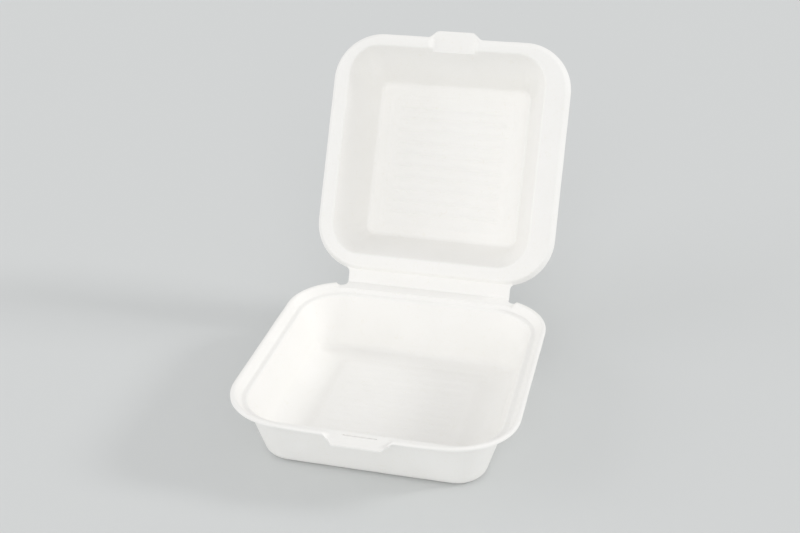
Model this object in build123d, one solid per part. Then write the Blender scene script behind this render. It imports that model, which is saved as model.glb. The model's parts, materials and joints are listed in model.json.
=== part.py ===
from build123d import *
from math import radians, sqrt, tan
import os

# Bagasse burger box: a square clamshell moulded from sugar-cane pulp as one sheet. The base tray and
# the lid meet at a pressed crease along the back, and the lid folds on it. The rest pose is the box
# standing open. Millimetres, +Z up, origin on the table under the middle of the base, hinge at +Y.

# Base tray
BASE_WIDTH = 152.0          # across the rim, square in plan
BASE_HEIGHT = 36.0          # table to the top of the rim
BASE_WALL = 1.0
CORNER_RADIUS = 32.5        # of the rim's outline in plan; every inner outline shares its centres
RIM_FLAT = 2.2              # level top of the rim
RIM_EDGE = 1.6              # lip turned down round the outside
FLARE_WIDTH = 3.2           # slope from the level top down to the ledge, in plan
LEDGE_DEPTH = 4.5           # the lid's seat, below the top of the rim
LEDGE_WIDTH = 3.1
BASE_DRAFT = 17.4           # degrees that the walls lean outwards
BASE_FOOT_FILLET = 5.0

# Lid
LID_WALL = 0.6
SEAT_GAP = 0.3              # between the closed lid's ring and the ledge
RIM_GAP = 0.48              # between the closed lid's edge and the flare, level
LID_EDGE_DROP = 0.8         # the closed lid's edge, below the top of the rim
LID_RING = 8.0              # flat ring round the lid's mouth
LID_DEPTH = 35.4            # ring to panel, on the food side
LID_DRAFT = 16.0
LID_PANEL_FILLET = 8.0

# Small flat that eases the outer edges of the base's rim, as wide as an arc of this radius
SOFT_EDGE = 0.9

# Pressed pads and ribs of the floor and the panel
BASE_PAD_MARGIN = 8.4       # flat of the floor round its raised middle
BASE_PAD_RISE = 0.9
LID_PAD_MARGIN = 3.2        # flat of the lid's panel round its middle, which is pushed outwards
LID_PAD_DEPTH = 1.0
PAD_CORNER_RADIUS = 8.0
RIB_MARGIN = 7.4            # from the lid's pad to the ends of its ribs; the floor has the same ribs
RIB_PITCH = 7.5
RIB_WIDTH = 2.8
RIB_RISE = 0.4
PRESS_SLOPE = 45.0          # degrees, flanks of the pads and ribs

# Front tabs
TAB_TIP = 24.0              # the base's tab across its tip
TAB_FLOOR = 30.0            # across the dip in the base's rim, at its floor
TAB_FLANK = 3.0             # plan width of each sloping end of that dip
TAB_REACH = 3.9             # beyond the rim
SLIT_LENGTH = 19.0
SLIT_WIDTH = 1.0
LID_TAB_TIP = 22.0
LID_TAB_FLOOR = 28.0
LID_TAB_FLANK = 2.6
LID_TAB_REACH = 4.0         # beyond the lid's edge

# Hinge
WEB_WIDTH = 99.0            # strip of sheet that joins base and lid
WEB_ROOT_FILLET = 3.0       # in plan, where the strip leaves the rim
HINGE_REACH = 4.0           # crease line, behind the rim
HINGE_DROP = 2.0            # crease line, below the top of the rim
CREASE_RADIUS = 0.8         # rounded bead of the crease
CREASE_GAP = 0.3            # between the bead and the base's strip
FOLD_GAP = 0.15             # from the crease line to each strip's food side
DIP_CLEARANCE = 0.5         # beside the lid's strip and its rounded roots, in the base's rim
OPEN_ANGLE = 119.2          # of the lid from closed, as the box stands

# Places worked out from the sizes above
BASE_HALF = BASE_WIDTH / 2
CORNER_CENTRE = BASE_HALF - CORNER_RADIUS
FLARE_TOP = BASE_HALF - RIM_FLAT
LEDGE_OUTER = FLARE_TOP - FLARE_WIDTH
LEDGE_INNER = LEDGE_OUTER - LEDGE_WIDTH
LEDGE_LEVEL = BASE_HEIGHT - LEDGE_DEPTH
BASE_FOOT = LEDGE_INNER - (LEDGE_LEVEL - BASE_WALL) * tan(radians(BASE_DRAFT))
HINGE_Y = BASE_HALF + HINGE_REACH
HINGE_Z = BASE_HEIGHT - HINGE_DROP
WEB_LEVEL = HINGE_Z - FOLD_GAP

# The lid is drawn opened out flat, food side up, so its closed heights are mirrored in the crease line
LID_RING_LEVEL = 2 * HINGE_Z - (LEDGE_LEVEL + SEAT_GAP)
LID_EDGE_LEVEL = 2 * HINGE_Z - (BASE_HEIGHT - LID_EDGE_DROP)
FLARE_LEAN = FLARE_WIDTH / LEDGE_DEPTH
LID_HALF = FLARE_TOP - LID_EDGE_DROP * FLARE_LEAN - RIM_GAP
LID_RING_OUTER = LID_HALF - (LID_RING_LEVEL - LID_EDGE_LEVEL) * FLARE_LEAN
LID_RING_INNER = LID_RING_OUTER - LID_RING
LID_PANEL_LEVEL = LID_RING_LEVEL - LID_DEPTH
LID_LEAN = tan(radians(LID_DRAFT))
LID_FOOT = LID_RING_INNER - LID_DEPTH * LID_LEAN

# The pads lie inside the flats that the wall's fillets leave, and the ribs inside the smaller pad
BASE_FLAT = BASE_FOOT - BASE_FOOT_FILLET * tan(radians((90 - BASE_DRAFT) / 2))
LID_FLAT = LID_FOOT - LID_PANEL_FILLET * tan(radians((90 - LID_DRAFT) / 2))
BASE_PAD = 2 * (BASE_FLAT - BASE_PAD_MARGIN)
LID_PAD = 2 * (LID_FLAT - LID_PAD_MARGIN)
RIB_LENGTH = LID_PAD - 2 * RIB_MARGIN
RIB_COUNT = 1 + int((RIB_LENGTH - RIB_WIDTH) / RIB_PITCH)

CUT_MARGIN = 5.0            # how far cutting shapes run past what they cut
EASED = None                # in a list of corner radii, a corner that is cut off flat


def parallel(points, distance):
    """The run of points moved to its left by a distance, with its corners kept sharp."""
    runs = [(b - a).normalized() for a, b in zip(points, points[1:])]
    normals = [Vector(-run.Y, run.X) for run in runs]
    moved = [points[0] + normals[0] * distance]
    for point, before, after in zip(points[1:], normals, normals[1:]):
        moved.append(point + (before + after) * (distance / (1 + before.dot(after))))
    return moved + [points[-1] + normals[-1] * distance]


def eased(corners, radii):
    """The food side's line with its eased corners cut off flat, and a radius for each of its points."""
    points = [corners[0]]
    point_radii = []
    for before, corner, after, radius in zip(corners, corners[1:], corners[2:], radii):
        if radius is EASED:
            run_in = (corner - before).normalized()
            run_out = (after - corner).normalized()
            cut = SOFT_EDGE * tan(radians(run_in.get_angle(run_out) / 2))
            points += [corner - run_in * cut, corner + run_out * cut]
            point_radii += [0, 0]
        else:
            points.append(corner)
            point_radii.append(radius)
    return points + [corners[-1]], point_radii


def wall_section(points, radii, wall):
    """Section of a moulded wall: a line along the food side, from the outer edge inwards, and its back."""
    back_radii = []
    for a, b, c, radius in zip(points, points[1:], points[2:], radii):
        left_turn = (b - a).cross(c - b).Z > 0
        bent = radius - wall if left_turn else radius + wall
        back_radii.append(bent if radius else 0)
    front = FilletPolyline(*points, radius=radii)
    back = FilletPolyline(*parallel(points, wall), radius=[max(radius, 0) for radius in back_radii])
    return make_face([*front.edges(), *back.edges(), Line(front @ 0, back @ 0), Line(front @ 1, back @ 1)])


def filled_section(points, radii, bottom):
    """Section of everything under the food side, down to a level."""
    front = FilletPolyline(*points, radius=radii)
    low_outer = (points[0].X, bottom)
    low_inner = (points[-1].X, bottom)
    return make_face([*front.edges(), Polyline(front @ 0, low_outer, low_inner, front @ 1).edges()])


def round_the_box(section):
    """A section carried round the box: straight along each side and turned at each corner."""
    upright = Plane.XZ * section
    side = extrude(Pos(0, CORNER_CENTRE, 0) * upright, amount=2 * CORNER_CENTRE, dir=(0, -1, 0))
    corner_axis = Axis((CORNER_CENTRE, CORNER_CENTRE, 0), (0, 0, 1))
    corner = revolve(Pos(0, CORNER_CENTRE, 0) * upright, axis=corner_axis, revolution_arc=90)
    return Part() + [Rot(0, 0, turn) * piece for turn in (0, 90, 180, 270) for piece in (side, corner)]


def tray(corners, corner_radii, wall):
    """Rim, walls and floor of one half of the box, and the same shape filled in below its food side."""
    points, radii = eased(corners, corner_radii)
    floor = points[-1].Y
    width = 2 * CORNER_CENTRE
    plate = Pos(0, 0, floor - wall / 2) * Box(width, width, wall)
    bottom = floor - wall - CUT_MARGIN
    shell = round_the_box(wall_section(points, radii, wall)) + plate
    return shell, round_the_box(filled_section(points, radii, bottom))


def press(shell, outlines, top, wall, rise):
    """Push outlines up out of a plate, or down where the rise is negative, and keep the wall's thickness."""
    grow = wall * tan(radians(PRESS_SLOPE / 2))
    way = (0, 0, 1 if rise > 0 else -1)
    bulge_from, hollow_from = (top, top - wall) if rise > 0 else (top - wall, top)
    for place, shape in outlines:
        bulge = Pos(0, 0, bulge_from) * place * shape(grow)
        hollow = Pos(0, 0, hollow_from) * place * shape(0)
        shell = shell + extrude(bulge, abs(rise), dir=way, taper=PRESS_SLOPE)
        shell = shell - extrude(hollow, abs(rise), dir=way, taper=PRESS_SLOPE)
    return shell


def pad_outline(width):
    """One rounded square in the middle of the tray."""
    def shape(grow):
        return RectangleRounded(width + 2 * grow, width + 2 * grow, PAD_CORNER_RADIUS + grow)
    return [(Pos(0, 0), shape)]


def rib_outlines():
    """The row of ribs that stiffens a pad, parallel to the hinge."""
    def shape(grow):
        return Rectangle(RIB_LENGTH + 2 * grow, RIB_WIDTH + 2 * grow)
    first = -(RIB_COUNT - 1) / 2 * RIB_PITCH
    return [(Pos(0, first + row * RIB_PITCH), shape) for row in range(RIB_COUNT)]


def across(outline, start, end):
    """An outline in X and Z, carried along Y from start to end."""
    face = Plane.XZ * make_face(Polyline(*outline, close=True))
    return extrude(Pos(0, start, 0) * face, end - start, dir=(0, 1, 0))


def dip(shell, filled, wall, level, top, floor_width, flank, start, end):
    """Lower a rim to a level between two sloping flanks, for a tab or the hinge strip."""
    low = floor_width / 2
    high = low + flank
    line = [Vector(-high, top), Vector(-low, level), Vector(low, level), Vector(high, top)]
    under = parallel(line, -wall)
    over = top + CUT_MARGIN
    over_half = low + flank * (over - level) / (top - level)
    cutter = across([line[1], line[2], (over_half, over), (-over_half, over)], start, end)
    lining = across([*line, *reversed(under)], start, end)
    return shell - cutter + (lining & filled)


def tab_strip(root, rim, tip, root_half, tip_half, level, wall):
    """Flat tongue with its food side at a level, from its root out past the rim to a narrower tip."""
    half = [(root_half, root), (root_half, rim), (tip_half, tip)]
    other_half = [(-x, y) for x, y in reversed(half)]
    return extrude(Pos(0, 0, level - wall) * make_face(Polyline(*half, *other_half, close=True)), wall)


def web_outline(rim_half, root_half, end):
    """Plan of the hinge strip from its root inside the rim to its free end, with rounded corners at the rim."""
    rim_radius = rim_half - CORNER_CENTRE
    rim = RectangleRounded(2 * rim_half, 2 * rim_half, rim_radius)
    root = RectangleRounded(2 * root_half, 2 * root_half, root_half - CORNER_CENTRE)
    edge = WEB_WIDTH / 2
    strip = Pos(0, (CORNER_CENTRE + end) / 2) * Rectangle(WEB_WIDTH, end - CORNER_CENTRE)

    # A round that touches the strip's edge and the rim's outline, which is straight and then a quarter circle
    radius = min(WEB_ROOT_FILLET, end - rim_half)
    into_corner = max(edge + radius - CORNER_CENTRE, 0)
    round_y = CORNER_CENTRE + sqrt((rim_radius + radius) ** 2 - into_corner ** 2)
    reach = radius * (1 - into_corner / (rim_radius + radius))
    block = Pos(edge + reach / 2, (CORNER_CENTRE + round_y) / 2) * Rectangle(reach, round_y - CORNER_CENTRE)
    gusset = block - Pos(edge + radius, round_y) * Circle(radius) - rim
    return strip - root + gusset + mirror(gusset, Plane.YZ)


def base_tray():
    """The lower half: rim with its ledge, drafted walls, ribbed floor, slit front tab, hinge strip."""
    corners = [
        Vector(BASE_HALF, BASE_HEIGHT - RIM_EDGE),
        Vector(BASE_HALF, BASE_HEIGHT),
        Vector(FLARE_TOP, BASE_HEIGHT),
        Vector(LEDGE_OUTER, LEDGE_LEVEL),
        Vector(LEDGE_INNER, LEDGE_LEVEL),
        Vector(BASE_FOOT, BASE_WALL),
        Vector(CORNER_CENTRE, BASE_WALL),
    ]
    radii = [EASED, EASED, 0, EASED, BASE_FOOT_FILLET]
    shell, filled = tray(corners, radii, BASE_WALL)
    shell = press(shell, pad_outline(BASE_PAD), BASE_WALL, BASE_WALL, BASE_PAD_RISE)
    shell = press(shell, rib_outlines(), BASE_WALL + BASE_PAD_RISE, BASE_WALL, RIB_RISE)

    # Tab: the ledge runs out through a dip in the front of the rim
    shell = dip(shell, filled, BASE_WALL, LEDGE_LEVEL, BASE_HEIGHT, TAB_FLOOR, TAB_FLANK,
                -BASE_HALF - CUT_MARGIN, -LEDGE_OUTER)
    tab_root = LEDGE_OUTER - LEDGE_WIDTH / 2
    tab_tip = BASE_HALF + TAB_REACH
    shell = shell + tab_strip(-tab_root, -BASE_HALF, -tab_tip, TAB_FLOOR / 2, TAB_TIP / 2,
                              LEDGE_LEVEL, BASE_WALL)
    slit_y = -LEDGE_OUTER - SLIT_WIDTH / 2
    shell = shell - Pos(0, slit_y, LEDGE_LEVEL) * Box(SLIT_LENGTH, SLIT_WIDTH, 4 * BASE_WALL)

    # Hinge strip: the rim drops to just under the crease line and runs out towards it
    drop = BASE_HEIGHT - WEB_LEVEL
    dip_width = WEB_WIDTH + 2 * (WEB_ROOT_FILLET + DIP_CLEARANCE)
    shell = dip(shell, filled, BASE_WALL, WEB_LEVEL, BASE_HEIGHT, dip_width, drop,
                CORNER_CENTRE, BASE_HALF + CUT_MARGIN)
    web_root = FLARE_TOP - drop * FLARE_LEAN
    web_end = HINGE_Y - CREASE_RADIUS - CREASE_GAP
    web = web_outline(BASE_HALF, web_root, web_end)
    return shell + extrude(Pos(0, 0, WEB_LEVEL - BASE_WALL) * web, BASE_WALL)


def lid_opened_flat():
    """The upper half, food side up about its own middle, with its hinge at -Y."""
    corners = [
        Vector(LID_HALF, LID_EDGE_LEVEL),
        Vector(LID_RING_OUTER, LID_RING_LEVEL),
        Vector(LID_RING_INNER, LID_RING_LEVEL),
        Vector(LID_FOOT, LID_PANEL_LEVEL),
        Vector(CORNER_CENTRE, LID_PANEL_LEVEL),
    ]
    radii = [0, 0, LID_PANEL_FILLET]
    shell, filled = tray(corners, radii, LID_WALL)
    shell = press(shell, pad_outline(LID_PAD), LID_PANEL_LEVEL, LID_WALL, -LID_PAD_DEPTH)
    shell = press(shell, rib_outlines(), LID_PANEL_LEVEL - LID_PAD_DEPTH, LID_WALL, RIB_RISE)

    # Tab: the ring drops to the level of the lid's edge and runs out past it
    tab_root = LID_RING_INNER - (LID_RING_LEVEL - LID_EDGE_LEVEL) * LID_LEAN
    shell = dip(shell, filled, LID_WALL, LID_EDGE_LEVEL, LID_RING_LEVEL, LID_TAB_FLOOR, LID_TAB_FLANK,
                LID_FOOT, LID_HALF + CUT_MARGIN)
    tab_tip = LID_HALF + LID_TAB_REACH
    shell = shell + tab_strip(tab_root, LID_HALF, tab_tip, LID_TAB_FLOOR / 2, LID_TAB_TIP / 2,
                              LID_EDGE_LEVEL, LID_WALL)

    # Hinge strip: the outer slope stops at the strip, which ends in the bead of the crease
    web_root = LID_RING_OUTER + (LID_RING_LEVEL - WEB_LEVEL) * FLARE_LEAN
    below = WEB_LEVEL - LID_WALL - CUT_MARGIN / 2
    shell = shell - Pos(0, -web_root, below) * Box(WEB_WIDTH, CUT_MARGIN, CUT_MARGIN)
    web = Rot(0, 0, 180) * web_outline(LID_HALF, web_root, HINGE_Y)
    shell = shell + extrude(Pos(0, 0, WEB_LEVEL - LID_WALL) * web, LID_WALL)
    return shell + Pos(0, -HINGE_Y, HINGE_Z) * Rot(0, 90, 0) * Cylinder(CREASE_RADIUS, WEB_WIDTH)


def lid():
    """The lid folded up from flat to where it stands open."""
    flat = Pos(0, 2 * HINGE_Y, 0) * lid_opened_flat()
    return flat.rotate(Axis((0, HINGE_Y, HINGE_Z), (1, 0, 0)), 180 - OPEN_ANGLE)


os.makedirs("parts", exist_ok=True)
export_step(base_tray(), "parts/base_tray.step")
export_step(lid(), "parts/lid.step")
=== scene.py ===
import json
import math

import bmesh
import bpy
from mathutils import Matrix, Vector


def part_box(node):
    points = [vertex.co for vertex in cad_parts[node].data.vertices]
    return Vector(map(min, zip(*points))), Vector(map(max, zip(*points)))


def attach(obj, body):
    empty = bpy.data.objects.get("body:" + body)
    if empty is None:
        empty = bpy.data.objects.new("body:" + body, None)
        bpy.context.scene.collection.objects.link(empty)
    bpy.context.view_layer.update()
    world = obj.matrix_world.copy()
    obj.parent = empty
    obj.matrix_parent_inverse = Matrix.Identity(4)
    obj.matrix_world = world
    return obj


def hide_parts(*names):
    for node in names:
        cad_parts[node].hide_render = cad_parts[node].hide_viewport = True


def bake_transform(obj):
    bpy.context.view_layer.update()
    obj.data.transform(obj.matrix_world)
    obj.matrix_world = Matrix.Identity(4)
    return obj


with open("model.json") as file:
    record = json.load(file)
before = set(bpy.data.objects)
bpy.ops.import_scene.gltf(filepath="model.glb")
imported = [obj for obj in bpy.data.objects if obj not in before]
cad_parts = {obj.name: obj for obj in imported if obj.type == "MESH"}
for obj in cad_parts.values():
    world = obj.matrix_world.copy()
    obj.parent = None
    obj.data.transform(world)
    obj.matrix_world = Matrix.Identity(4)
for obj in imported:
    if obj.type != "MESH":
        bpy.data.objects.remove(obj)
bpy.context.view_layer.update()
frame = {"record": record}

# Lengths are in millimetres, as a maker writes them, and MM turns them to the scene's metres
MM = 0.001

# From the frame: the base's outer size, the crease line, and the fold from opened out flat to standing
base_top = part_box("base_tray")[1] / MM
lid_fold = frame["record"]["behaviour"]["joints"][0]
BASE_HALF = base_top.x
BASE_HEIGHT = base_top.z
HINGE_Y = lid_fold["pos_m"][1] / MM
HINGE_Z = lid_fold["pos_m"][2] / MM
FOLD = math.radians(lid_fold["range_deg"][1])

# The base's section, on the food side
BASE_WALL = 1.0
CORNER_RADIUS = 32.5        # of the rim in plan; every inner outline shares its centres
RIM_FLAT = 2.2
RIM_EDGE = 1.6              # lip turned down round the outside
FLARE_WIDTH = 3.2
LEDGE_DEPTH = 4.5
LEDGE_WIDTH = 3.1
BASE_LEAN = math.tan(math.radians(17.4))
BASE_FOOT_ROUND = 4.5
CORNER_CENTRE = BASE_HALF - CORNER_RADIUS
FLARE_TOP = BASE_HALF - RIM_FLAT
LEDGE_OUTER = FLARE_TOP - FLARE_WIDTH
LEDGE_INNER = LEDGE_OUTER - LEDGE_WIDTH
LEDGE_LEVEL = BASE_HEIGHT - LEDGE_DEPTH
FLARE_LEAN = FLARE_WIDTH / LEDGE_DEPTH
BASE_FOOT = LEDGE_INNER - (LEDGE_LEVEL - BASE_WALL) * BASE_LEAN

# The lid's section, opened out flat with its food side up
LID_WALL = 0.6
LID_HALF = 72.75
LID_EDGE_LEVEL = 32.8
LID_RING_LEVEL = 36.2
LID_RING = 8.0
LID_DEPTH = 35.4
LID_LEAN = math.tan(math.radians(19.5))
LID_FOOT_ROUND = 3.5
LID_RING_OUTER = LID_HALF - (LID_RING_LEVEL - LID_EDGE_LEVEL) * FLARE_LEAN
LID_RING_INNER = LID_RING_OUTER - LID_RING
LID_PANEL_LEVEL = LID_RING_LEVEL - LID_DEPTH
LID_FOOT = LID_RING_INNER - LID_DEPTH * LID_LEAN

# Edges that the mould leaves soft
SOFT_EDGE = 1.5
RIM_ROUND = 1.0

# Pads and ribs of the floor and the lid's panel
BASE_PAD_HALF = 45.9
BASE_PAD_RISE = 0.9
BASE_PAD_BORDER = 7.0       # width of the slope round the pad
LID_PAD_HALF = 43.0
LID_PAD_RISE = -0.6         # pressed away from the food
LID_PAD_BORDER = 4.0
COVE_START = 46.5           # from the middle, where the floor starts to rise to the left and right walls
COVE_RADIUS = 14.0
COVE_NEAR = 44.0            # along the walls, where the rise starts to die away, and where it ends
COVE_FAR = 54.0
PAD_MARGIN = 2.0            # flat that is cut finely round a pad
PAD_CORNER = 6.0
PAD_CUTS = (-7.5, -6.5, -5.5, -4.5, -3.8, -3.1, -2.4, -1.7, -1, -0.5, 0, 0.8)  # outwards from its edge
RIB_COUNT = 10
RIB_PITCH = 7.5
FIRST_RIB = -(RIB_COUNT - 1) / 2 * RIB_PITCH
RIB_HALF_LENGTH = 35.5
RIB_HALF_WIDTH = 1.6
BASE_RIB_RISE = 0.25
LID_RIB_RISE = 0.7
RIB_END = 2.5               # length over which a rib's end sinks away
RIB_END_CUTS = (0, 0.33, 0.67, 1)

# Tabs, as half widths: of the tip, of the root on the rim's outline, and of the dip's floor behind it
TAB_TIP = 12.0
TAB_ROOT = 15.5
TAB_FLOOR = 15.0
TAB_FLANK = 3.0             # plan width of each sloping end of the dip
TAB_REACH = 3.9
SLIT_HALF = 9.0
SLIT_WIDTH = 0.8
LID_TAB_TIP = 10.0
LID_TAB_ROOT = 16.8
LID_TAB_FLOOR = 11.6
LID_TAB_FLANK = 4.0
LID_TAB_REACH = 4.0
EDGE_PULL = 0.7             # share of the rim's width, from the root, that a wide tab root leaves alone

# Hinge strip
CREASE_LIFT = 0.15          # of the crease line above the strip's face
WEB_LEVEL = HINGE_Z - CREASE_LIFT
WEB_HALF = 49.5
LID_WEB_ROUND = 3.0
BASE_WEB_ROUND = 2.9
WEB_ROUND_CUTS = (0, 0.25, 0.7, 1.3, 2)     # outwards from the strip's half width
DIP_HALF = 53.0
DIP_FLANK = BASE_HEIGHT - WEB_LEVEL
CREASE_HALF = 1.5           # of the bend, along the sheet
STRIP_LENGTHS = 60          # faces from seam to seam
STRIP_WIDTHS = 40           # faces from end to end

# How the dried sheet strays from its drawing
MOUTH_SHIFT = Vector((-2.7, 1.25))      # of the lid's mouth, in its trimmed edge
MOUTH_STRETCH = Vector((-2.0, 1.7))     # at the mouth's edge, outwards from the middle
PANEL_SHIFT = Vector((-2.0, 0.2))       # of the lid's panel
PANEL_STRETCH = Vector((-2.0, -1.2))    # at the panel's foot, and less at its ribs
SHIFT_BAND = 12.0           # width over which the shift dies away towards the tab
RIM_DROOP = 1.65            # of the front rim beside the tab
DROOP_NEAR = 25.0           # from the middle, where the droop starts to die away, and where it ends
DROOP_FAR = 62.0
UNEVEN_SIZE = 16.0
UNEVEN_DEPTH = 0.22
UNEVEN_DETAIL = 1
TRUE_BAND = 5.0             # width over which the unevenness dies away towards the hinge strip

# Fineness of the meshes
CORNER_STEPS = 28
SIDE_STEPS = 70
ARC_STEP = math.radians(13)
LONGEST_STEP = 3.0
RIM_ZONE = 58.0             # rim and upper walls lie further out than this
COLUMN_MARGIN = 3.5         # of the faces that are cut, beyond the first and last mark
SMOOTH_ANGLE = math.radians(40)
NEAR = 0.01                 # lengths that differ by less count as the same

# The camera, fitted to the outlines in an 800 by 533 frame
IMAGE_WIDTH = 800
FOCAL_PIXELS = 1188.28
CAMERA_YAW = math.radians(-14.29)
CAMERA_PITCH = math.radians(27.48)
CAMERA_ROLL = math.radians(-0.64)
CAMERA_TARGET = Vector((-2.349, 22.951, 78.389))
CAMERA_DISTANCE = 645.745
SENSOR_WIDTH = 36.0
CLIP_START = 10.0

# Light: a soft key from the right, wide fills from the front and the left, and an even surround
KEY_FROM = Vector((0.86, 0.26, 0.43))
KEY_STRENGTH = 0.75
KEY_ANGLE = math.radians(13)
FRONT_FROM = Vector((0.18, -0.86, 0.41))
FRONT_STRENGTH = 0.64
FRONT_ANGLE = math.radians(45)
LEFT_FROM = Vector((-0.92, -0.25, 0.30))
LEFT_STRENGTH = 0.56
LEFT_ANGLE = math.radians(50)
SURROUND_STRENGTH = 0.69

# Colours and pattern sizes of the materials
PULP_HEX = "FAF9F7"
PULP_CLOUD_HEX = "F6F5F2"
PULP_FIBRE_HEX = "F0EDE3"
NOISE_MIDDLE = 0.5          # of a noise that runs from 0 to 1
CLOUD_SIZE = 22.0
CLOUD_DETAIL = 3.0
FIBRE_SIZE = 5.0
FIBRE_DETAIL = 1.0
FIBRE_DISTORTION = 1.5
FIBRE_BAND = 0.012          # of the noise's range, which sets how thick a fibre is drawn
FIBRE_SHARE = 0.35
GRAIN_SIZE = 1.1
GRAIN_DETAIL = 2.0
GRAIN_DEPTH = 0.035
GRAIN_STRENGTH = 0.5
PULP_ROUGHNESS = 0.9
PULP_SPECULAR = 0.25
FLOOR_HEX = "D9DBDB"
FLOOR_ROUGHNESS = 1.0
FLOOR_SPECULAR = 0.0
FLOOR_SIZE = 6000.0

# Sockets of a colour Mix node, which has several of each name
MIX_FACTOR, MIX_A, MIX_B, MIX_RESULT = 0, 6, 7, 2


def smooth(value, low, high):
    """0 at low, 1 at high, and a smooth rise between them."""
    share = min(max((value - low) / (high - low), 0), 1)
    return share * share * (3 - 2 * share)


def straight(start, end):
    """Points after start up to end, none further apart than the longest step."""
    steps = max(1, math.ceil((end - start).length / LONGEST_STEP))
    return [start.lerp(end, step / steps) for step in range(1, steps + 1)]


def rounded_run(corners, radii):
    """Points along a section's line, from the edge inwards, with its corners rounded."""
    points = [Vector(corners[0])]
    for before, corner, after, radius in zip(corners, corners[1:], corners[2:], radii):
        corner = Vector(corner)
        run_in = (corner - Vector(before)).normalized()
        run_out = (Vector(after) - corner).normalized()
        turn = run_in.angle_signed(run_out)
        start = corner - run_in * radius * math.tan(abs(turn) / 2)
        side = Vector((-run_in.y, run_in.x)) * (1 if turn < 0 else -1)
        centre = start + side * radius
        points += straight(points[-1], start)
        steps = max(2, math.ceil(abs(turn) / ARC_STEP))
        for step in range(1, steps + 1):
            spoke = start - centre
            spoke.rotate(Matrix.Rotation(-turn * step / steps, 2))
            points.append(centre + spoke)
    return points + straight(points[-1], Vector(corners[-1]))


def select_edges(piece, wanted):
    """In edit mode, select the edges that a test picks."""
    bpy.ops.mesh.select_mode(type="EDGE")
    bpy.ops.mesh.select_all(action="DESELECT")
    mesh = bmesh.from_edit_mesh(piece.data)
    for edge in mesh.edges:
        edge.select_set(wanted(edge))
    bmesh.update_edit_mesh(piece.data)


def select_faces(piece, wanted):
    """In edit mode, select the faces that a test of their middle picks."""
    bpy.ops.mesh.select_mode(type="FACE")
    bpy.ops.mesh.select_all(action="DESELECT")
    mesh = bmesh.from_edit_mesh(piece.data)
    for face in mesh.faces:
        face.select_set(wanted(face.calc_center_median() / MM))
    bmesh.update_edit_mesh(piece.data)


def cut_faces(piece, wanted, planes):
    """In edit mode, cut the picked faces along planes, each a point and a normal."""
    for place, normal in planes:
        select_faces(piece, wanted)
        bpy.ops.mesh.bisect(plane_co=Vector(place) * MM, plane_no=normal)


def cut_columns(piece, way, marks):
    """Cut the rim on way's side along Y, at marks left and right, for a bend to follow."""
    low = min(marks) - COLUMN_MARGIN
    high = max(marks) + COLUMN_MARGIN
    planes = [((side * mark, 0, 0), (1, 0, 0)) for mark in marks for side in (-1, 1)]
    bpy.ops.object.mode_set(mode="EDIT")
    cut_faces(piece, lambda middle: middle.y * way > RIM_ZONE and low < abs(middle.x) < high, planes)
    bpy.ops.object.mode_set(mode="OBJECT")


def moulded_tray(name, run, pad_half):
    """A tray's food side: a rounded square, stepped inwards along its section to a gridded floor."""
    bpy.ops.object.select_all(action="DESELECT")
    bpy.ops.mesh.primitive_plane_add(size=2 * run[0].x * MM, location=(0, 0, run[0].y * MM))
    piece = bpy.context.object
    piece.name = name
    bpy.ops.object.transform_apply(location=True, rotation=False, scale=False)
    bpy.ops.object.mode_set(mode="EDIT")
    bpy.ops.mesh.select_all(action="SELECT")
    radius = run[0].x - CORNER_CENTRE
    bpy.ops.mesh.bevel(offset_type="OFFSET", offset=radius * MM, segments=CORNER_STEPS, affect="VERTICES")
    bpy.ops.mesh.select_all(action="SELECT")
    bpy.ops.mesh.delete(type="ONLY_FACE")
    select_edges(piece, lambda edge: edge.calc_length() > CORNER_CENTRE * MM)
    bpy.ops.mesh.subdivide(number_cuts=SIDE_STEPS - 1)
    bpy.ops.mesh.select_all(action="SELECT")
    bpy.ops.mesh.edge_face_add()
    bpy.ops.mesh.select_mode(type="FACE")
    bpy.ops.mesh.select_all(action="SELECT")
    if bmesh.from_edit_mesh(piece.data).faces[:][0].normal.z < 0:
        bpy.ops.mesh.flip_normals()
    for start, end in zip(run, run[1:]):
        bpy.ops.mesh.inset(thickness=(start.x - end.x) * MM, depth=(end.y - start.y) * MM)
    grid_floor(pad_half)
    bpy.ops.object.mode_set(mode="OBJECT")
    return piece


def grid_floor(pad_half):
    """In edit mode, cut the selected floor along and across its ribs and beside its pad's border."""
    border = [side * (pad_half + offset) for offset in PAD_CUTS for side in (-1, 1)]
    half = RIB_HALF_WIDTH
    offsets = [-RIB_PITCH / 2, -half, -half / 2, 0, half / 2, half]
    rows = [FIRST_RIB + row * RIB_PITCH for row in range(RIB_COUNT)]
    along = border + [row + offset for row in rows for offset in offsets]
    end_cuts = [RIB_HALF_LENGTH - RIB_END * share for share in RIB_END_CUTS]
    across = border + [side * cut for cut in end_cuts for side in (-1, 1)]
    middle_steps = int(end_cuts[-1] / LONGEST_STEP)
    across += [LONGEST_STEP * step for step in range(1 - middle_steps, middle_steps)]
    bpy.ops.mesh.hide(unselected=True)
    for y in along:
        bpy.ops.mesh.select_all(action="SELECT")
        bpy.ops.mesh.bisect(plane_co=(0, y * MM, 0), plane_no=(0, 1, 0))
    for x in across:
        bpy.ops.mesh.select_all(action="SELECT")
        bpy.ops.mesh.bisect(plane_co=(x * MM, 0, 0), plane_no=(1, 0, 0))
    bpy.ops.mesh.reveal(select=False)


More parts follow.
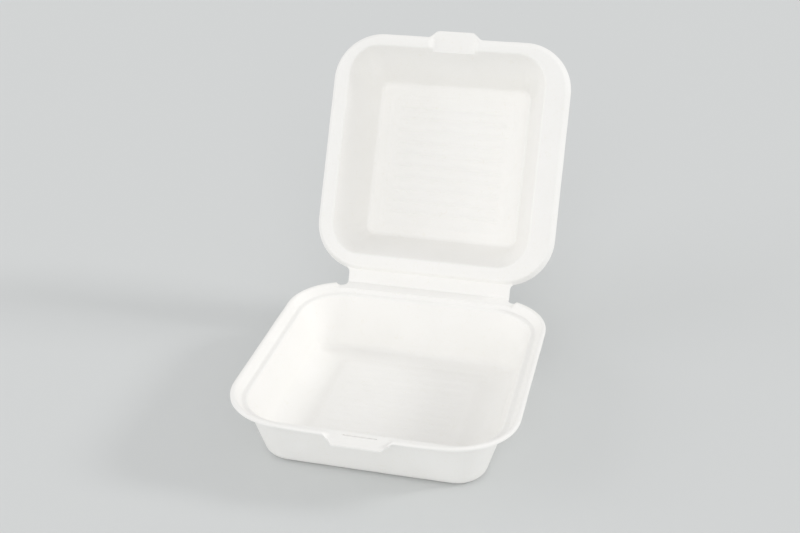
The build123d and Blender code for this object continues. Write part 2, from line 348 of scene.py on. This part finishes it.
def press_floor(piece, level, pad_half, pad_rise, pad_border, rib_rise):
    """Press the pad up or down out of the floor, and raise the ribs with rounded backs and ends."""
    centre = pad_half - PAD_CORNER
    for vertex in piece.data.vertices:
        x, y, z = vertex.co / MM
        if abs(z - level) > NEAR or max(abs(x), abs(y)) > pad_half + PAD_MARGIN:
            continue
        over_x, over_y = abs(x) - centre, abs(y) - centre
        outside = math.hypot(max(over_x, 0), max(over_y, 0)) + min(max(over_x, over_y), 0) - PAD_CORNER
        rise = pad_rise * (1 - smooth(outside, -pad_border, 0))
        row = min(max(round((y - FIRST_RIB) / RIB_PITCH), 0), RIB_COUNT - 1)
        side = abs(y - FIRST_RIB - row * RIB_PITCH) / RIB_HALF_WIDTH
        if side < 1:
            back = (1 + math.cos(math.pi * side)) / 2
            rise += rib_rise * back * smooth(RIB_HALF_LENGTH - abs(x), 0, RIB_END)
        vertex.co.z += rise * MM


def raise_sides(piece):
    """Let the base's floor rise to the left and right walls in wide hollows, on the food side alone."""
    for vertex in piece.data.vertices:
        x, y, z = vertex.co / MM
        over = max(abs(x) - COVE_START, 0)
        lift = BASE_WALL + over ** 2 / (2 * COVE_RADIUS) - z
        if vertex.normal.z > 0 and over > 0 and lift > 0 and abs(y) < BASE_FOOT:
            vertex.co.z += lift * (1 - smooth(abs(y), COVE_NEAR, COVE_FAR)) * MM


def half_width(x, y):
    """Half width of the rounded square, on the tray's shared corner centres, that a point lies on."""
    over_x = abs(x) - CORNER_CENTRE
    over_y = abs(y) - CORNER_CENTRE
    if over_x > 0 and over_y > 0:
        return CORNER_CENTRE + math.hypot(over_x, over_y)
    return max(abs(x), abs(y))


def outline_y(half, x):
    """How far out, along Y, the rounded square of a half width lies at x."""
    into_corner = max(x - CORNER_CENTRE, 0)
    return CORNER_CENTRE + math.sqrt(max((half - CORNER_CENTRE) ** 2 - into_corner ** 2, 0))


def lay_flat(piece, run, way, root, level, flatness, reach):
    """Lay the rim beyond its root flat at a level, on the side that way points to along Y.

    flatness gives how far a point at x goes, and reach how far out the edge runs there.
    """
    lengths = [0.0]
    for start, end in zip(run, run[1:]):
        lengths.append(lengths[-1] + (end - start).length)
    root_index = min(range(len(run)), key=lambda i: (run[i] - root).length)
    for vertex in piece.data.vertices:
        x, y, z = vertex.co / MM
        if y * way < CORNER_CENTRE or z < min(level, run[0].y) - NEAR:
            continue
        weight = flatness(abs(x))
        stretch = reach(abs(x)) - outline_y(run[0].x, abs(x))
        if weight == 0 and stretch < NEAR:
            continue
        place = Vector((half_width(x, y), z))
        index = min(range(len(run)), key=lambda i: (run[i] - place).length)
        if index > root_index:
            continue
        share = 1 - lengths[index] / lengths[root_index]
        root_y = outline_y(root.x, abs(x))
        flat_y = root_y + share * (reach(abs(x)) - root_y)
        pulled_y = abs(y) + stretch * smooth(share, EDGE_PULL, 1)
        new_y = pulled_y + weight * (flat_y - pulled_y)
        vertex.co = Vector((x, way * new_y, z + weight * (level - z))) * MM


def web_reach(half, radius):
    """How far out the hinge strip runs at x: its seam, then a round that touches the rim's outline."""
    into_corner = WEB_HALF + radius - CORNER_CENTRE
    spread = half - CORNER_CENTRE + radius
    seam = CORNER_CENTRE + math.sqrt(spread ** 2 - into_corner ** 2)
    touch = WEB_HALF + radius * (1 - into_corner / spread)

    def reach(x):
        if x <= WEB_HALF:
            return seam
        if x < touch:
            return seam - math.sqrt(radius ** 2 - (WEB_HALF + radius - x) ** 2)
        return outline_y(half, x)

    return reach


def tab_reach(half, tip_reach, tip_half, root_half):
    """How far out a tab runs at x: level at its tip, and sweeping back to the rim's outline at its root."""
    def reach(x):
        return outline_y(half, x) + tip_reach * (1 - smooth(x, tip_half, root_half))

    return reach


def lower_front_rim(piece):
    """Let the base's front rim run a little lower towards the tab."""
    for vertex in piece.data.vertices:
        x, y, z = vertex.co / MM
        if y < -LEDGE_OUTER and z > LEDGE_LEVEL:
            share = 1 - smooth(abs(x), DROOP_NEAR, DROOP_FAR)
            vertex.co.z -= RIM_DROOP * share * (z - LEDGE_LEVEL) / LEDGE_DEPTH * MM


def cut_slit(piece):
    """Cut the slit that the lid's tab is pushed through, along the root of the base's tab."""
    near, far = -LEDGE_OUTER, -LEDGE_OUTER - SLIT_WIDTH
    planes = [((side * SLIT_HALF, 0, 0), (1, 0, 0)) for side in (-1, 1)]
    planes += [((0, y, 0), (0, 1, 0)) for y in (near, far)]
    bpy.ops.object.mode_set(mode="EDIT")
    cut_faces(piece, lambda middle: middle.y < -LEDGE_INNER and abs(middle.x) < TAB_TIP, planes)
    select_faces(piece, lambda middle: abs(middle.x) < SLIT_HALF and far < middle.y < near)
    bpy.ops.mesh.delete(type="FACE")
    bpy.ops.object.mode_set(mode="OBJECT")


def apply_modifiers(piece):
    """Apply a piece's modifiers in order and round off its shading."""
    bpy.context.view_layer.objects.active = piece
    for name in [modifier.name for modifier in piece.modifiers]:
        bpy.ops.object.modifier_apply(modifier=name)
    piece.vertex_groups.clear()
    bpy.ops.object.shade_smooth_by_angle(angle=SMOOTH_ANGLE)


def add_thickness(piece, wall):
    """Give a food side the sheet's thickness behind it."""
    thick = piece.modifiers.new("sheet", "SOLIDIFY")
    thick.thickness = wall * MM
    thick.offset = -1
    thick.use_even_offset = True
    thick.use_quality_normals = True
    return thick


def finish_sheet(piece, wall, still):
    """Give the food side its uneven face and the sheet its thickness.

    still gives 1 where the face stays true.
    """
    uneven = piece.vertex_groups.new(name="uneven")
    for vertex in piece.data.vertices:
        uneven.add([vertex.index], 1 - still(vertex.co / MM), "REPLACE")
    clouds = bpy.data.textures.new(piece.name + "_uneven", "CLOUDS")
    clouds.noise_scale = UNEVEN_SIZE * MM
    clouds.noise_depth = UNEVEN_DETAIL
    wavy = piece.modifiers.new("uneven", "DISPLACE")
    wavy.texture = clouds
    wavy.texture_coords = "LOCAL"
    wavy.strength = UNEVEN_DEPTH * MM
    wavy.mid_level = NOISE_MIDDLE
    wavy.vertex_group = uneven.name
    add_thickness(piece, wall)
    apply_modifiers(piece)


def base_shell():
    """The base: stepped rim, walls and ribbed floor, with its slit tab and the root of the hinge strip."""
    corners = [
        (BASE_HALF, BASE_HEIGHT - RIM_EDGE),
        (BASE_HALF, BASE_HEIGHT),
        (FLARE_TOP, BASE_HEIGHT),
        (LEDGE_OUTER, LEDGE_LEVEL),
        (LEDGE_INNER, LEDGE_LEVEL),
        (BASE_FOOT, BASE_WALL),
        (BASE_PAD_HALF + PAD_MARGIN, BASE_WALL),
    ]
    run = rounded_run(corners, [RIM_ROUND, SOFT_EDGE, SOFT_EDGE, SOFT_EDGE, BASE_FOOT_ROUND])
    piece = moulded_tray("base_shell", run, BASE_PAD_HALF)
    press_floor(piece, BASE_WALL, BASE_PAD_HALF, BASE_PAD_RISE, BASE_PAD_BORDER, BASE_RIB_RISE)

    cut_columns(piece, -1, [TAB_TIP, TAB_FLOOR, TAB_FLOOR + TAB_FLANK / 2, TAB_FLOOR + TAB_FLANK])
    lay_flat(piece, run, -1, Vector((LEDGE_OUTER, LEDGE_LEVEL)), LEDGE_LEVEL,
             lambda x: 1 - smooth(x, TAB_FLOOR, TAB_FLOOR + TAB_FLANK),
             tab_reach(BASE_HALF, TAB_REACH, TAB_TIP, TAB_ROOT))
    web_cuts = [WEB_HALF + offset for offset in WEB_ROUND_CUTS]
    cut_columns(piece, 1, web_cuts + [DIP_HALF, DIP_HALF + DIP_FLANK / 2, DIP_HALF + DIP_FLANK])
    web_root = Vector((LEDGE_OUTER + (WEB_LEVEL - LEDGE_LEVEL) * FLARE_LEAN, WEB_LEVEL))
    lay_flat(piece, run, 1, web_root, WEB_LEVEL,
             lambda x: 1 - smooth(x, DIP_HALF, DIP_HALF + DIP_FLANK),
             web_reach(BASE_HALF, BASE_WEB_ROUND))
    lower_front_rim(piece)
    cut_slit(piece)

    def still(place):
        resting = 1 - smooth(place.z, BASE_WALL, BASE_WALL + BASE_PAD_RISE)
        return max(resting, smooth(place.y, LEDGE_OUTER, LEDGE_OUTER + TRUE_BAND))

    finish_sheet(piece, BASE_WALL, still)
    raise_sides(piece)
    return piece


def lid_shell():
    """The lid: sloped edge, flat ring, walls and ribbed panel, with its tab and its part of the strip."""
    corners = [
        (LID_HALF, LID_EDGE_LEVEL),
        (LID_RING_OUTER, LID_RING_LEVEL),
        (LID_RING_INNER, LID_RING_LEVEL),
        (LID_FOOT, LID_PANEL_LEVEL),
        (LID_PAD_HALF + PAD_MARGIN, LID_PANEL_LEVEL),
    ]
    run = rounded_run(corners, [SOFT_EDGE, SOFT_EDGE, LID_FOOT_ROUND])
    piece = moulded_tray("lid_shell", run, LID_PAD_HALF)
    press_floor(piece, LID_PANEL_LEVEL, LID_PAD_HALF, LID_PAD_RISE, LID_PAD_BORDER, LID_RIB_RISE)

    flank_middle = LID_TAB_FLOOR + LID_TAB_FLANK / 2
    dip_end = LID_TAB_FLOOR + LID_TAB_FLANK
    cut_columns(piece, 1, [LID_TAB_TIP, LID_TAB_FLOOR, flank_middle, dip_end, LID_TAB_ROOT])
    tab_root = Vector((LID_RING_INNER - (LID_RING_LEVEL - LID_EDGE_LEVEL) * LID_LEAN, LID_EDGE_LEVEL))
    lay_flat(piece, run, 1, tab_root, LID_EDGE_LEVEL,
             lambda x: 1 - smooth(x, LID_TAB_FLOOR, dip_end),
             tab_reach(LID_HALF, LID_TAB_REACH, LID_TAB_TIP, LID_TAB_ROOT))
    web_cuts = [WEB_HALF + offset for offset in WEB_ROUND_CUTS]
    cut_columns(piece, -1, web_cuts)
    web_root = Vector((LID_RING_OUTER + (LID_RING_LEVEL - WEB_LEVEL) * FLARE_LEAN, WEB_LEVEL))
    lay_flat(piece, run, -1, web_root, WEB_LEVEL,
             lambda x: 1.0 if x < web_cuts[-1] + NEAR else 0.0,
             web_reach(LID_HALF, LID_WEB_ROUND))
    shift_pan(piece)

    finish_sheet(piece, LID_WALL, lambda place: smooth(-place.y, LID_RING_OUTER - TRUE_BAND, LID_RING_OUTER))
    fold_up(piece)
    return piece


def shift_pan(piece):
    """Move the lid's pan off the middle of its trimmed edge, which the ring takes up.

    The tab's dip stays in the tab's middle.
    """
    for vertex in piece.data.vertices:
        x, y, z = vertex.co / MM
        mouth = MOUTH_SHIFT + MOUTH_STRETCH * Vector((x, y)) / LID_RING_INNER
        panel = PANEL_SHIFT + PANEL_STRETCH * Vector((x ** 3, y ** 3)) / LID_FOOT ** 3
        shift = panel.lerp(mouth, smooth(z, LID_PANEL_LEVEL, LID_RING_LEVEL))
        shift *= 1 - smooth(half_width(x, y), LID_RING_INNER, LID_RING_OUTER)
        beside_tab = smooth(abs(x), LID_TAB_ROOT, LID_TAB_ROOT + SHIFT_BAND)
        below_tab = 1 - smooth(y, LID_RING_INNER - SHIFT_BAND, LID_RING_INNER)
        vertex.co.x += shift.x * max(beside_tab, below_tab) * MM
        vertex.co.y += shift.y * MM


def fold_up(piece):
    """Fold a piece that was made flat about its own middle up to where the lid stands."""
    axis = Matrix.Translation((0, HINGE_Y * MM, HINGE_Z * MM))
    turn = axis @ Matrix.Rotation(FOLD, 4, "X") @ axis.inverted()
    piece.data.transform(turn @ Matrix.Translation((0, 2 * HINGE_Y * MM, 0)))


def hinge_strip():
    """The sheet across the crease, from the base's seam to the lid's, bent as the lid stands."""
    base_seam = web_reach(BASE_HALF, BASE_WEB_ROUND)(0)
    lid_seam = 2 * HINGE_Y - web_reach(LID_HALF, LID_WEB_ROUND)(0)
    length = lid_seam - base_seam
    bpy.ops.object.select_all(action="DESELECT")
    bpy.ops.mesh.primitive_plane_add(size=1, location=(0, (base_seam + length / 2) * MM, WEB_LEVEL * MM))
    piece = bpy.context.object
    piece.name = "hinge_strip"
    piece.scale = (2 * WEB_HALF * MM, length * MM, 1)
    bpy.ops.object.transform_apply(location=True, rotation=False, scale=True)
    lengthways = [base_seam + length * step / STRIP_LENGTHS for step in range(1, STRIP_LENGTHS)]
    crossways = [WEB_HALF * (2 * step / STRIP_WIDTHS - 1) for step in range(1, STRIP_WIDTHS)]
    planes = [((0, y, 0), (0, 1, 0)) for y in lengthways]
    planes += [((x, 0, 0), (1, 0, 0)) for x in crossways]
    bpy.ops.object.mode_set(mode="EDIT")
    cut_faces(piece, lambda middle: True, planes)
    bpy.ops.object.mode_set(mode="OBJECT")
    thin = piece.vertex_groups.new(name="thickness")
    for vertex in piece.data.vertices:
        y = vertex.co.y / MM
        share = smooth(y, base_seam, lid_seam)
        thin.add([vertex.index], 1 - share * (1 - LID_WALL / BASE_WALL), "REPLACE")
        turn = FOLD * smooth(y, HINGE_Y - CREASE_HALF, HINGE_Y + CREASE_HALF)
        turned = Matrix.Rotation(turn, 3, "X") @ Vector((0, y - HINGE_Y, WEB_LEVEL - HINGE_Z))
        vertex.co = Vector((vertex.co.x, (HINGE_Y + turned.y) * MM, (HINGE_Z + turned.z) * MM))
    add_thickness(piece, BASE_WALL).vertex_group = thin.name
    apply_modifiers(piece)
    return piece


def linear(hex_code):
    """An sRGB hex colour as linear RGBA."""
    channels = [int(hex_code[i:i + 2], 16) / 255 for i in (0, 2, 4)]
    return [c / 12.92 if c <= 0.04045 else ((c + 0.055) / 1.055) ** 2.4 for c in channels] + [1.0]


def add_node(tree, kind, settings, inputs):
    """Add a node. An input is a value, or another node's output to link."""
    node = tree.nodes.new(kind)
    for name, value in settings.items():
        setattr(node, name, value)
    for name, value in inputs.items():
        if isinstance(value, bpy.types.NodeSocket):
            tree.links.new(value, node.inputs[name])
        else:
            node.inputs[name].default_value = value
    return node


def pressed_bagasse():
    """Bleached sugar-cane pulp, pressed and dried in a hot mould.

    To the eye it is a dead matt, warm white, a little cloudy where the pulp settled thicker, with short pale
    fibres in its face and a fine grain. The fibres and the grain are drawn coarser than they are, to show.
    """
    material = bpy.data.materials.new("pressed_bagasse")
    material.use_nodes = True
    tree = material.node_tree
    shader = tree.nodes["Principled BSDF"]
    place = add_node(tree, "ShaderNodeTexCoord", {}, {}).outputs["Object"]

    cloud = add_node(tree, "ShaderNodeTexNoise", {}, {
        "Vector": place, "Scale": 1 / (CLOUD_SIZE * MM), "Detail": CLOUD_DETAIL})
    body = add_node(tree, "ShaderNodeMix", {"data_type": "RGBA"}, {
        MIX_FACTOR: cloud.outputs["Fac"], MIX_A: linear(PULP_HEX), MIX_B: linear(PULP_CLOUD_HEX)})

    # Lines of equal value in a distorted noise wander like fibres
    wander = add_node(tree, "ShaderNodeTexNoise", {}, {
        "Vector": place, "Scale": 1 / (FIBRE_SIZE * MM),
        "Detail": FIBRE_DETAIL, "Distortion": FIBRE_DISTORTION})
    from_middle = add_node(tree, "ShaderNodeMath", {"operation": "SUBTRACT"}, {
        0: wander.outputs["Fac"], 1: NOISE_MIDDLE})
    apart = add_node(tree, "ShaderNodeMath", {"operation": "ABSOLUTE"}, {0: from_middle.outputs[0]})
    fibre = add_node(tree, "ShaderNodeMapRange", {}, {
        "Value": apart.outputs[0], "From Min": 0.0, "From Max": FIBRE_BAND,
        "To Min": FIBRE_SHARE, "To Max": 0.0})
    colour = add_node(tree, "ShaderNodeMix", {"data_type": "RGBA"}, {
        MIX_FACTOR: fibre.outputs["Result"], MIX_A: body.outputs[MIX_RESULT], MIX_B: linear(PULP_FIBRE_HEX)})

    grain = add_node(tree, "ShaderNodeTexNoise", {}, {
        "Vector": place, "Scale": 1 / (GRAIN_SIZE * MM), "Detail": GRAIN_DETAIL})
    height = add_node(tree, "ShaderNodeMath", {"operation": "ADD"}, {
        0: grain.outputs["Fac"], 1: fibre.outputs["Result"]})
    bump = add_node(tree, "ShaderNodeBump", {}, {
        "Height": height.outputs[0], "Strength": GRAIN_STRENGTH, "Distance": GRAIN_DEPTH * MM})

    tree.links.new(colour.outputs[MIX_RESULT], shader.inputs["Base Color"])
    tree.links.new(bump.outputs["Normal"], shader.inputs["Normal"])
    shader.inputs["Roughness"].default_value = PULP_ROUGHNESS
    shader.inputs["Specular IOR Level"].default_value = PULP_SPECULAR
    return material


def backdrop_paper():
    """Matt grey backdrop paper, an even tone with no pattern of its own."""
    material = bpy.data.materials.new("backdrop_paper")
    material.use_nodes = True
    shader = material.node_tree.nodes["Principled BSDF"]
    shader.inputs["Base Color"].default_value = linear(FLOOR_HEX)
    shader.inputs["Roughness"].default_value = FLOOR_ROUGHNESS
    shader.inputs["Specular IOR Level"].default_value = FLOOR_SPECULAR
    return material


def add_floor():
    """The plain pale floor that the box stands on."""
    bpy.ops.object.select_all(action="DESELECT")
    bpy.ops.mesh.primitive_plane_add(size=FLOOR_SIZE * MM)
    floor = bpy.context.object
    floor.name = "floor"
    floor.data.materials.append(backdrop_paper())


def add_sun(name, direction, strength, angle):
    """A soft lamp that shines from a direction."""
    data = bpy.data.lights.new(name, "SUN")
    data.energy = strength
    data.angle = angle
    lamp = bpy.data.objects.new(name, data)
    lamp.rotation_mode = "QUATERNION"
    lamp.rotation_quaternion = direction.to_track_quat("Z", "Y")
    bpy.context.scene.collection.objects.link(lamp)


def add_light():
    """Plain soft studio light."""
    add_sun("key", KEY_FROM, KEY_STRENGTH, KEY_ANGLE)
    add_sun("front", FRONT_FROM, FRONT_STRENGTH, FRONT_ANGLE)
    add_sun("left", LEFT_FROM, LEFT_STRENGTH, LEFT_ANGLE)
    world = bpy.data.worlds.new("studio")
    world.use_nodes = True
    surround = world.node_tree.nodes["Background"]
    surround.inputs["Color"].default_value = (1, 1, 1, 1)
    surround.inputs["Strength"].default_value = SURROUND_STRENGTH
    bpy.context.scene.world = world
    bpy.context.scene.view_settings.view_transform = "Standard"


def add_camera():
    """A camera at the photograph's viewing angle."""
    forward = Vector((math.sin(CAMERA_YAW) * math.cos(CAMERA_PITCH),
                      math.cos(CAMERA_YAW) * math.cos(CAMERA_PITCH), -math.sin(CAMERA_PITCH)))
    level = Vector((math.cos(CAMERA_YAW), -math.sin(CAMERA_YAW), 0))
    upright = level.cross(forward)
    right = math.cos(CAMERA_ROLL) * level + math.sin(CAMERA_ROLL) * upright
    up = math.cos(CAMERA_ROLL) * upright - math.sin(CAMERA_ROLL) * level
    data = bpy.data.cameras.new("camera")
    data.sensor_width = SENSOR_WIDTH
    data.lens = FOCAL_PIXELS / IMAGE_WIDTH * SENSOR_WIDTH
    data.clip_start = CLIP_START * MM
    camera = bpy.data.objects.new("camera", data)
    bpy.context.scene.collection.objects.link(camera)
    turn = Matrix((right, up, -forward)).transposed().to_4x4()
    camera.matrix_world = Matrix.Translation((CAMERA_TARGET - forward * CAMERA_DISTANCE) * MM) @ turn
    bpy.context.scene.camera = camera


add_camera()
add_light()
add_floor()

base = base_shell()
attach(base, "base")
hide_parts("base_tray")

lid = lid_shell()
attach(lid, "lid")
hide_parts("lid")

# The strip is bent to lie along the base below the crease line and along the lid above it, as the lid stands
strip = hinge_strip()
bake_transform(strip)

pulp = pressed_bagasse()
for piece in (base, lid, strip):
    piece.data.materials.append(pulp)
